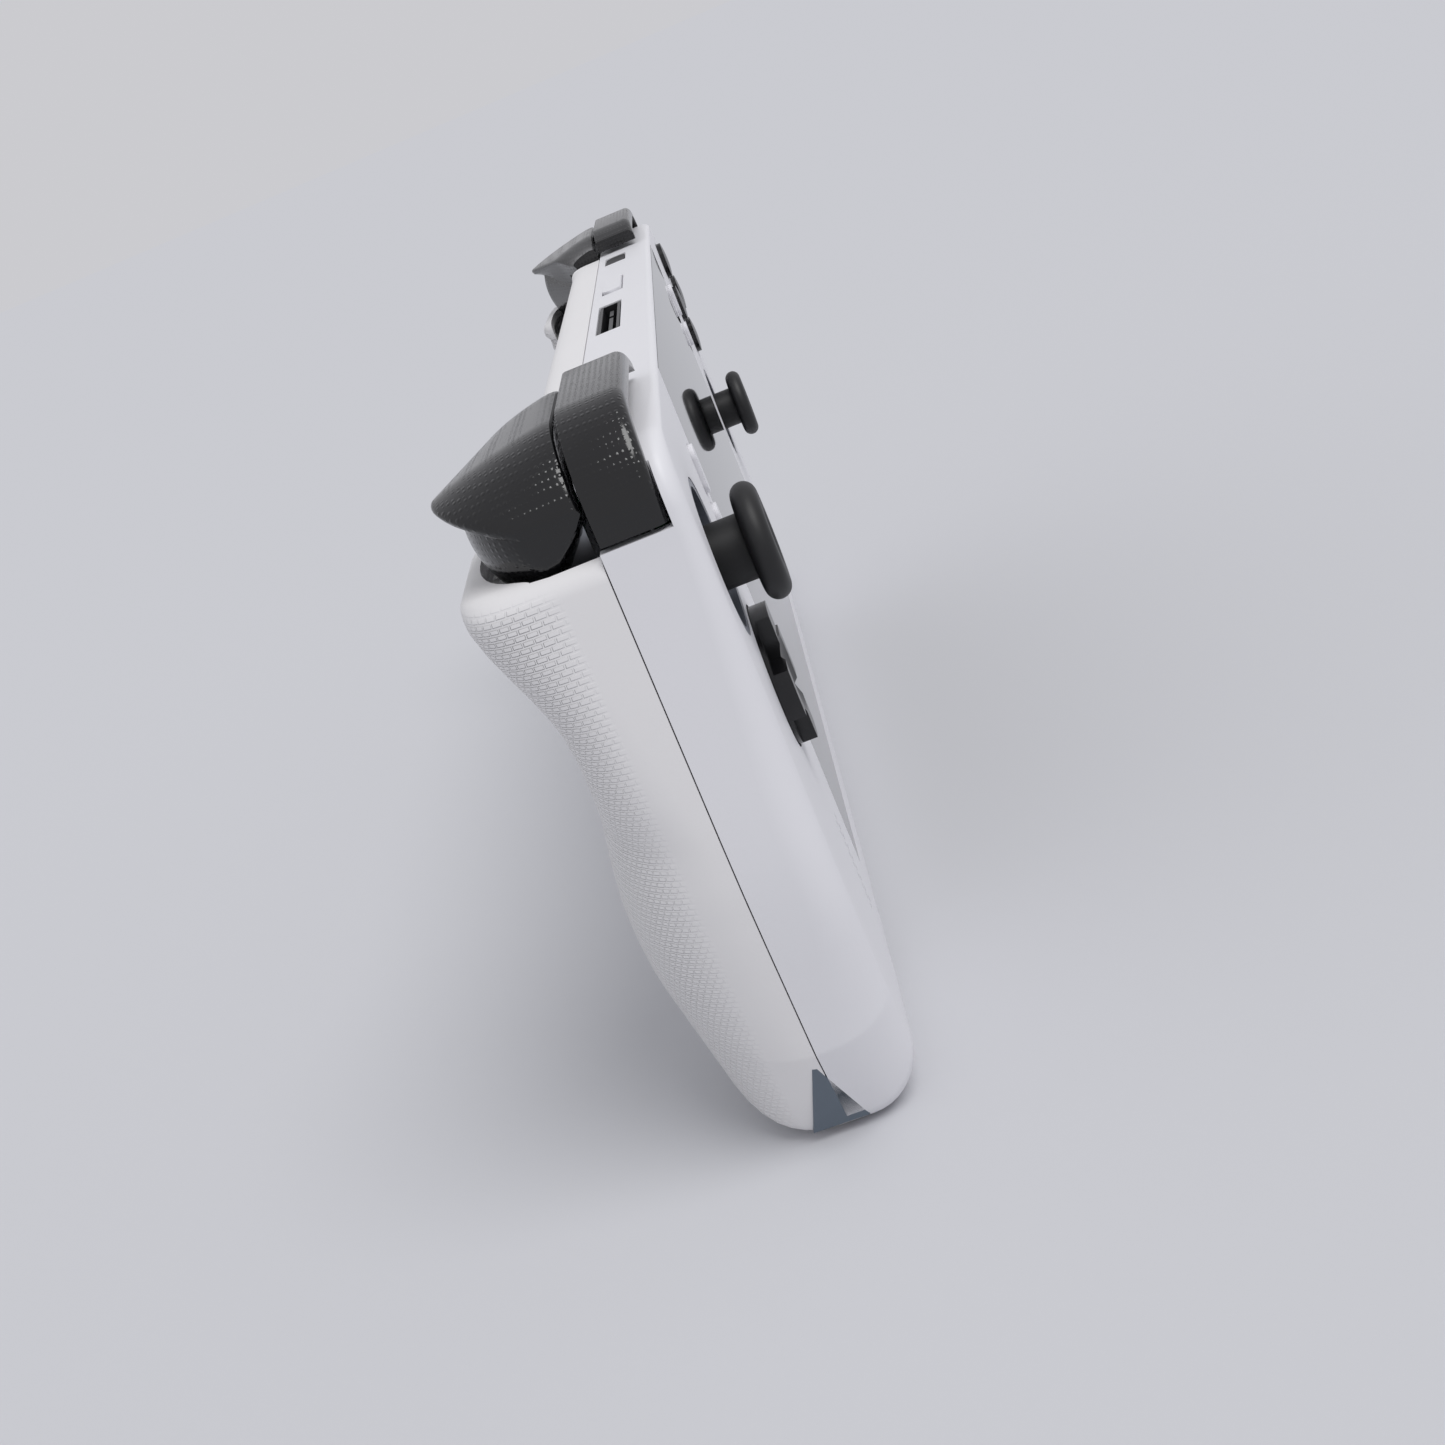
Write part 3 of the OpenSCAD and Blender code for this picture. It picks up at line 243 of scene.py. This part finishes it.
def divided(rows, step):
    out = []
    for i, a in enumerate(rows):
        b = rows[(i + 1) % len(rows)]
        parts = max(1, math.ceil(math.hypot(b[0] - a[0], b[1] - a[1]) / step))
        out += [[x + (y - x) * k / parts for x, y in zip(a, b)] for k in range(parts)]
    return out


def mirrored(rows):
    return rows + [[-r[0]] + r[1:] for r in reversed(rows)]


def smooth(t):
    t = min(max(t, 0), 1)
    return t * t * (3 - 2 * t)


def loft(name, rings, material=None, centred=False):
    """A closed skin through rings. Each end is one face, or a fan round a middle point when centred."""
    mesh = bpy.data.meshes.new(name)
    bm = bmesh.new()
    lines = [[bm.verts.new(Vector(p) * MM) for p in ring] for ring in rings]
    count = len(rings[0])
    for a, b in zip(lines, lines[1:]):
        for i in range(count):
            j = (i + 1) % count
            bm.faces.new((a[i], b[i], b[j], a[j]))
    for line in (lines[0], list(reversed(lines[-1]))):
        if not centred:
            bm.faces.new(line)
            continue
        middle = bm.verts.new((0, line[0].co.y, 0))
        for i in range(count):
            bm.faces.new((middle, line[i], line[(i + 1) % count]))
    bmesh.ops.recalc_face_normals(bm, faces=bm.faces)
    bm.to_mesh(mesh)
    bm.free()
    obj = bpy.data.objects.new(name, mesh)
    bpy.context.scene.collection.objects.link(obj)
    if material:
        obj.data.materials.append(material)
    return obj


# %% Front shell rings
# Each row is x, z and corner radius, then how far the face lies inside the outline along X and Z, and the edge's depth.
front_rows = [
    [100, CASE_TOP, 0, 0, 1, 1.2], [SIDE_TOP_X, CASE_TOP, 10, 3, 1, 2.2], [HALF_W, -14, 100, 5.5, 1, 6],
    [HALF_W - 1.7, -42.5, 4, 6.5, 5, 11], [HALF_W - 6.8, -GRIP_TIP, 4, 5, 8.5, 9],
    [104, -GRIP_TIP, 30, 3, 7, 7], [86, -CASE_BOTTOM, 30, 0, 3, 3], [78, -CASE_BOTTOM, 0, 0, 2, 2.2]]
front_outline = divided(rounded(mirrored(front_rows), 2.0), 6)


def front_ring(a, t):
    c, s = math.cos(math.radians(a)), math.sin(math.radians(a))
    out = []
    for x, z, ix, iz, r in front_outline:
        kx = 1 - (ix * (1 - c) + t) / HALF_W
        kz = 1 - (iz * (1 - c) + t) / (CASE_TOP if z > 0 else GRIP_TIP)
        out.append((x * kx, t + r * (1 - s), z * kz))
    return out


def at_depth(ring, y):
    return [(p[0], y, p[2]) for p in ring]


edge = SEAM - 0.2
front_shell = loft("front_shell_skin", (
    [front_ring(a, WALL) for a in range(90, -1, -10)]
    + [at_depth(front_ring(0, WALL), edge), at_depth(front_ring(0, 0), edge)]
    + [front_ring(a, 0) for a in range(0, 91, 9)]), white, centred=True)

# %% Back shell rings
# Each row is x, z and corner radius, then how square the bend from side to back is: a larger power is squarer.
back_rows = [
    [60, CASE_TOP, 0, 5], [SOCKET_X - 2, CASE_TOP, 1.5, 5], [SOCKET_X - 0.5, SOCKET_Z, 2.5, 9],
    [SIDE_TOP_X + 1.2, SOCKET_Z, 4, 6], [HALF_W, -14, 100, 2.1], [HALF_W - 1.7, -42.5, 4, 2],
    [HALF_W - 6.8, -GRIP_TIP, 4, 2.6], [104, -GRIP_TIP, 30, 2.2], [86, -CASE_BOTTOM, 30, 3],
    [78, -CASE_BOTTOM, 0, 4]]
back_outline = divided(rounded(mirrored(back_rows), 2.0), 4)


WAIST_DEPTH, RIM_DEPTH, HEEL_DEPTH = 29, 34.7, 33.5
WAIST_Z, RIM_RISE, HEEL_Z = 10, 24, -26
PLATEAU_X, RIDGE_X = 80, 105
DRAW_X, DRAW_Z = 0.19, 0.20


def grip_depth(z):
    if z > WAIST_Z:
        turn = math.pi * min((z - WAIST_Z) / RIM_RISE, 1)
        return WAIST_DEPTH + (RIM_DEPTH - WAIST_DEPTH) * (1 - math.cos(turn)) / 2
    turn = math.pi * (z - HEEL_Z) / (WAIST_Z - HEEL_Z)
    return WAIST_DEPTH + (HEEL_DEPTH - WAIST_DEPTH) * (1 + math.cos(turn)) / 2


def back_depth(x, z):
    return BODY_T + (grip_depth(z) - BODY_T) * smooth((abs(x) - PLATEAU_X) / (RIDGE_X - PLATEAU_X))


def back_ring(a, t):
    c, s = math.cos(math.radians(a)), math.sin(math.radians(a))
    out = []
    for x0, z0, p in back_outline:
        shrink, rise = 1 - max(c, 0) ** (2 / p), s ** (2 / p)
        x = x0 * (1 - t / HALF_W) * (1 - DRAW_X * shrink)
        z = z0 * (1 - t / CASE_BOTTOM) * (1 - DRAW_Z * shrink)
        out.append((x, SEAM + (back_depth(x, z) - t - SEAM) * rise, z))
    return out


def inner_ring(k, t):
    out = []
    for x0, z0, p in back_outline:
        x = x0 * (1 - t / HALF_W) * (1 - DRAW_X) * k
        z = z0 * (1 - t / CASE_BOTTOM) * (1 - DRAW_Z) * (1 + (k - 1) * 0.7)
        out.append((x, back_depth(x, z) - t, z))
    return out


angles = [5, 11, 18, 26, 34, 43, 52, 61, 70, 78, 85, 90]
steps_in = [0.965, 0.93, 0.895, 0.86, 0.825, 0.79, 0.755, 0.72, 0.685, 0.65]
back_shell = loft("back_shell_skin", (
    [inner_ring(k, 0) for k in reversed(steps_in)] + [back_ring(a, 0) for a in reversed(angles)]
    + [back_ring(0, 0), at_depth(back_ring(0, WALL), SEAM)]
    + [back_ring(a, WALL) for a in angles] + [inner_ring(k, WALL) for k in steps_in]), grip,
    centred=True)
print("shell faces:", len(front_shell.data.polygons), len(back_shell.data.polygons))


# %% [markdown]
# The openings are cut where the CAD pieces sit, each a little larger than the piece. One joined cutter per shell keeps
# the Boolean quick.

# %% Cutters
cutters = []


def deselect():
    bpy.ops.object.select_all(action="DESELECT")


def box_cut(x0, x1, y0, y1, z0, z1, turn_y=0.0):
    deselect()
    bpy.ops.mesh.primitive_cube_add(size=1, location=(0, 0, 0))
    o = bpy.context.object
    size = Matrix.Diagonal(((x1 - x0) * MM, (y1 - y0) * MM, (z1 - z0) * MM, 1))
    mid = Vector(((x0 + x1) / 2, (y0 + y1) / 2, (z0 + z1) / 2)) * MM
    o.data.transform(Matrix.Translation(mid) @ Matrix.Rotation(turn_y, 4, "Y") @ size)
    cutters.append(o)


def round_cut(x, z, r, y0, y1, sides=64):
    deselect()
    bpy.ops.mesh.primitive_cylinder_add(vertices=sides, radius=r * MM, depth=(y1 - y0) * MM)
    o = bpy.context.object
    o.data.transform(Matrix.Translation(Vector((x, (y0 + y1) / 2, z)) * MM) @ Matrix.Rotation(math.pi / 2, 4, "X"))
    cutters.append(o)


def bar_cut(x, z, w, length, y0, y1, turn_y=0.0):
    """A slot with round ends along Z, built from one profile."""
    reach = (length - w) / 2
    pts = [(w / 2 * math.cos(math.pi * k / 24), reach + w / 2 * math.sin(math.pi * k / 24)) for k in range(25)]
    pts += [(-px, -pz) for px, pz in pts]
    turn = Matrix.Rotation(turn_y, 4, "Y")
    cutters.append(loft("slot", [[turn @ Vector((px, 0, pz)) + Vector((x, y, z)) for px, pz in pts]
                                 for y in (y0, y1)]))


def cut(shell):
    """Cuts the gathered cutters out of a shell, then removes them."""
    deselect()
    for o in cutters:
        o.select_set(True)
    bpy.context.view_layer.objects.active = cutters[0]
    bpy.ops.object.join()
    tool = bpy.context.object
    mod = shell.modifiers.new("openings", "BOOLEAN")
    mod.operation, mod.solver, mod.object = "DIFFERENCE", "EXACT", tool
    mod.use_self = True
    deselect()
    bpy.context.view_layer.objects.active = shell
    shell.select_set(True)
    bpy.ops.object.modifier_apply(modifier=mod.name)
    bpy.data.objects.remove(tool)
    cutters.clear()


# %% Front shell openings
LEFT_STICK, RIGHT_STICK, STICK_HOLE_R = (-115.8, 24.2), (104.9, -3.1), 11.75
DPAD, DPAD_HOLE_R = (-105.4, 1.0), 11.35
FACE_PAD, FACE_PITCH, FACE_HOLE_R = (115.6, 26.6), 10.2, 4.85
HALF_PANEL, HALF_GLASS, GLASS_BED = (79.3, 44.3), (81.65, 45.65), 1.25
MENU_X, MENU_Z, OPTION_Z, MENU_HOLE_W = 88.2, 30.3, 21.5, 4.3
SPEAKER_X, SPEAKER_PITCH, SPEAKER_LOW_Z = 97, 2.4, -44.5
THROUGH = (-1, 3)
box_cut(-HALF_PANEL[0], HALF_PANEL[0], *THROUGH, -HALF_PANEL[1], HALF_PANEL[1])
box_cut(-HALF_GLASS[0], HALF_GLASS[0], -1, GLASS_BED, -HALF_GLASS[1], HALF_GLASS[1])
for x, z in (LEFT_STICK, RIGHT_STICK):
    round_cut(x, z, STICK_HOLE_R, *THROUGH, 96)
round_cut(*DPAD, DPAD_HOLE_R, *THROUGH, 96)
for k in range(4):
    turn = k * math.pi / 2
    round_cut(FACE_PAD[0] + FACE_PITCH * math.cos(turn), FACE_PAD[1] + FACE_PITCH * math.sin(turn), FACE_HOLE_R,
              *THROUGH)
for side in (-1, 1):
    bar_cut(side * MENU_X, MENU_Z, MENU_HOLE_W, 8.5, *THROUGH)
    bar_cut(side * MENU_X, OPTION_Z, MENU_HOLE_W, 6.5, *THROUGH)
    for k in range(9):
        for column in (0, SPEAKER_PITCH):
            x, z = side * (SPEAKER_X + column), SPEAKER_LOW_Z + k * 2
            box_cut(x - 0.6, x + 0.6, *THROUGH, z - 0.7, z + 0.7)
box_cut(-31.8, 1.8, 6.4, 11.2, 43.4, 48)
box_cut(17.2, 38.4, 6.3, 10.9, 43.4, 48)
box_cut(66.2, 78.8, 6.05, 11.15, 43.4, 48)
for side in (-1, 1):
    # The bumper's recess in the corner: outside the bumper's inner line.
    box_cut(*sorted((side * 131.2, side * 160)), 2.7, 23, 35.5, 80)
cut(front_shell)

# %% Back shell openings
TRIGGER_X0, END_X, PIN_Y, PIN_Z, LIP = SOCKET_X + 1, SIDE_TOP_X - 0.6, 16.8, 40.3, 33.0
BARREL_R, BARREL_END_R, BARREL_TAPER_X = 14.2, 3.5, 112
SOCKET_GAP, SOCKET_REACH = 0.5, 44.2
REAR_BUTTON_X, REAR_HOLE_W, REAR_HOLE_LENGTH = 70, 8.5, 20.5
VENT_X, VENT_Z, VENT_PITCH, VENT_W, VENT_LENGTH, VENT_TILT = 44, 15, 6, 1.8, 22, math.radians(25)


def barrel_radius(x):
    if x < BARREL_TAPER_X:
        return BARREL_R
    share = (x - BARREL_TAPER_X) / (END_X - BARREL_TAPER_X)
    return BARREL_END_R + (BARREL_R - BARREL_END_R) * math.sqrt(max(0, 1 - share ** 2))


for side in (-1, 1):
    xs = [SOCKET_X + SOCKET_GAP + SOCKET_REACH * math.sin(math.radians(90 * i / 20)) for i in range(21)]
    profile = [(SOCKET_X + SOCKET_GAP, 12)]
    profile += [(x, PIN_Y + barrel_radius(min(x, SIDE_TOP_X - 1)) + SOCKET_GAP) for x in xs]
    profile += [(SIDE_TOP_X - 0.4, 20.2), (SIDE_TOP_X - 0.4, 12)]
    cutters.append(loft("socket", [[(side * x, y, z) for x, y in profile] for z in (20, 80)]))
    bar_cut(side * REAR_BUTTON_X, 0, REAR_HOLE_W, REAR_HOLE_LENGTH, 15, 40)
    for k in range(-2, 3):
        bar_cut(side * (VENT_X + k * VENT_PITCH), VENT_Z, VENT_W, VENT_LENGTH - 3 * abs(k), 18, 23,
                turn_y=side * VENT_TILT)
cut(back_shell)
for shell, node in ((front_shell, "front_shell"), (back_shell, "back_shell")):
    deselect()
    bpy.context.view_layer.objects.active = shell
    shell.select_set(True)
    bpy.ops.object.shade_smooth_by_angle(angle=math.radians(32))
    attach(shell, "case")
    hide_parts(node)
print("shells cut:", len(front_shell.data.polygons), len(back_shell.data.polygons))

# %% [markdown]
# Triggers and bumpers are lofted through close sections, so their corners roll over in small steps. The trigger's lip
# is short at the inner end and reaches furthest near the corner. The bumper is a bent band with a rounded front edge.

# %% Triggers and bumpers
CORNER_X, CORNER_R, BUMPER_TOP, BUMPER_T = END_X - 13.2, 14.0, CASE_TOP + 5.9, 2.6
TRIGGER_Y0, TRIGGER_TOP, LIP_IN = SEAM + 0.2, BUMPER_TOP - 0.9, PIN_Y + 3
LIP_FALL, SAG, SAG_RUN = 4.3, 2.4, 12
BUMPER_Y0, BUMPER_Y1, BUMPER_SIDE, BUMPER_GAP = 3, SEAM - 0.5, SIDE_TOP_X + 1.2, 0.75
EDGE_DEPTH, EDGE_IN, INNER_DROP = 1.6, 1.4, 2.2


def rolled(points, rounds):
    """Cuts every corner of an open line, and keeps its two ends."""
    for _ in range(rounds):
        line = [points[0]]
        for a, b in zip(points, points[1:]):
            line += [(a[0] * 0.75 + b[0] * 0.25, a[1] * 0.75 + b[1] * 0.25),
                     (a[0] * 0.25 + b[0] * 0.75, a[1] * 0.25 + b[1] * 0.75)]
        points = line + [points[-1]]
    return points


def trigger_section(x):
    fall = 0 if x < CORNER_X else CORNER_R - math.sqrt(max(0, CORNER_R ** 2 - (x - CORNER_X) ** 2))
    sag = SAG * (1 - smooth((x - TRIGGER_X0) / SAG_RUN))
    top = TRIGGER_TOP - fall - sag
    if x < CORNER_X:
        share = (x - TRIGGER_X0) / (CORNER_X - TRIGGER_X0)
        reach = LIP_IN + (LIP - LIP_IN) * share
        slope = LIP_FALL * (reach - TRIGGER_Y0) / (LIP - TRIGGER_Y0)
    else:
        reach = PIN_Y + (LIP - PIN_Y) * math.sqrt(max(0, 1 - ((x - CORNER_X) / CORNER_R) ** 2))
        slope = LIP_FALL
    lip_z = TRIGGER_TOP - slope - 0.55 * fall - sag
    r = min(barrel_radius(x), reach - PIN_Y - 1)
    rise = lip_z - 2.6 - PIN_Z
    under = max(8, min(20, math.degrees(math.asin(rise / max(r, rise + 0.1)))))
    upper = rolled([(TRIGGER_Y0, 41), (TRIGGER_Y0, top - 1), (TRIGGER_Y0 + 0.8, top),
                    (TRIGGER_Y0 * 0.45 + reach * 0.55, (top + lip_z) / 2 + 0.2), (reach - 1, lip_z + 0.2),
                    (reach, lip_z - 0.5), (reach - 0.6, lip_z - 1.5)], 2)
    turns = [math.radians(under - (under + 55) * k / 18) for k in range(19)]
    lower = [(PIN_Y + r * math.cos(a), PIN_Z + r * math.sin(a)) for a in turns]
    return upper + lower + [(PIN_Y + 0.28 * r, PIN_Z - 0.83 * r), (TRIGGER_Y0 + 1.4, PIN_Z - 0.27 * r)]


def bumper_line(t):
    line = [(SOCKET_X + k, BUMPER_TOP - t - INNER_DROP * (1 - k / 7) ** 1.5) for k in range(8)]
    middle_x, middle_z, r = BUMPER_SIDE - CORNER_R, BUMPER_TOP - CORNER_R, CORNER_R - t
    arc = [math.radians(90 - 3 * k) for k in range(31)]
    line += [(middle_x + r * math.cos(a), middle_z + r * math.sin(a)) for a in arc]
    return line + [(BUMPER_SIDE - t, SOCKET_Z + BUMPER_GAP)]


for side, letter, word in ((-1, "l", "left"), (1, "r", "right")):
    stops = [TRIGGER_X0 + (END_X - TRIGGER_X0) * math.sin(math.radians(90 * i / 44)) for i in range(45)]
    trigger = loft(word + "_trigger_skin", [[(side * x, y, z) for y, z in trigger_section(x)] for x in stops],
                         gloss)
    for x in (95, 126):
        box_cut(*sorted((side * (x - 1.2), side * (x + 1.2))), 10, 24.4, 20, 44.6)
    box_cut(*sorted((side * 108, side * 114)), 10, PIN_Y + 4.4, 20, PIN_Z + 3.6)
    cut(trigger)
    edge_turns = [math.radians(a) for a in range(0, 91, 15)]
    edge = [(BUMPER_Y0 + EDGE_DEPTH * (1 - math.cos(a)), EDGE_IN * (1 - math.sin(a))) for a in edge_turns]
    edge += [(BUMPER_Y1 - 0.4, 0), (BUMPER_Y1 - 0.1, 0.12), (BUMPER_Y1, 0.4)]
    rings = [[(side * x, y, z) for x, z in bumper_line(t) + list(reversed(bumper_line(BUMPER_T)))] for y, t in edge]
    bumper = loft(word + "_bumper_skin", rings, gloss)
    for piece, kind in ((trigger, "trigger"), (bumper, "bumper")):
        deselect()
        bpy.context.view_layer.objects.active = piece
        piece.select_set(True)
        bpy.ops.object.shade_smooth_by_angle(angle=math.radians(34))
        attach(piece, kind + "_" + letter)
        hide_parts(word + "_" + kind)
print("triggers and bumpers: 4")

# %% [markdown]
# The light is a studio's: one large soft key from above and a pale room all round. The floor is level and the same
# pale grey as the room, so the two meet without a line, and it keeps the soft shadow under the grips.

# %% Floor, room and lamps
low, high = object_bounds()
FLOOR_TONE, ROOM_LIGHT = "#CDCDD1", "#F2F4F8"
TOWARDS_KEY = Vector((-0.35, -0.45, 1.0))
deselect()
bpy.ops.mesh.primitive_plane_add(size=60, location=(0, 0, 0))
floor = bpy.context.object
floor.name = "floor"
floor.data.transform(Matrix.Translation((0, 0, low[2] - 0.0005)))
floor_mat, _, _ = finish_material("pale painted floor", FLOOR_TONE, 0.9, Specular_IOR_Level=0.0)
floor.data.materials.append(floor_mat)

world = bpy.data.worlds.new("room")
bpy.context.scene.world = world
world.use_nodes = True
wt = world.node_tree
for node in list(wt.nodes):
    wt.nodes.remove(node)
rays = add(wt, "LightPath")
lit = add(wt, "Background", {"Color": srgb(ROOM_LIGHT), "Strength": 0.62})
seen = add(wt, "Background", {"Color": srgb(FLOOR_TONE), "Strength": 0.98})
is_seen = add(wt, "Math", {"operation": "MAXIMUM"}, _0=rays.outputs["Is Camera Ray"], _1=rays.outputs["Is Glossy Ray"])
is_pale = add(wt, "Math", {"operation": "MAXIMUM"}, _0=is_seen.outputs[0],
              _1=rays.outputs["Is Transmission Ray"])
room = add(wt, "MixShader", _0=is_pale.outputs[0], _1=lit.outputs[0], _2=seen.outputs[0])
add(wt, "OutputWorld", Surface=room.outputs[0])

sun_data = bpy.data.lights.new("key", "SUN")
sun_data.energy, sun_data.angle = 1.5, math.radians(35)
sun = bpy.data.objects.new("key", sun_data)
bpy.context.scene.collection.objects.link(sun)
sun.rotation_euler = TOWARDS_KEY.to_track_quat("Z", "Y").to_euler()

bpy.context.scene.view_settings.view_transform = "Standard"
bpy.context.view_layer.update()
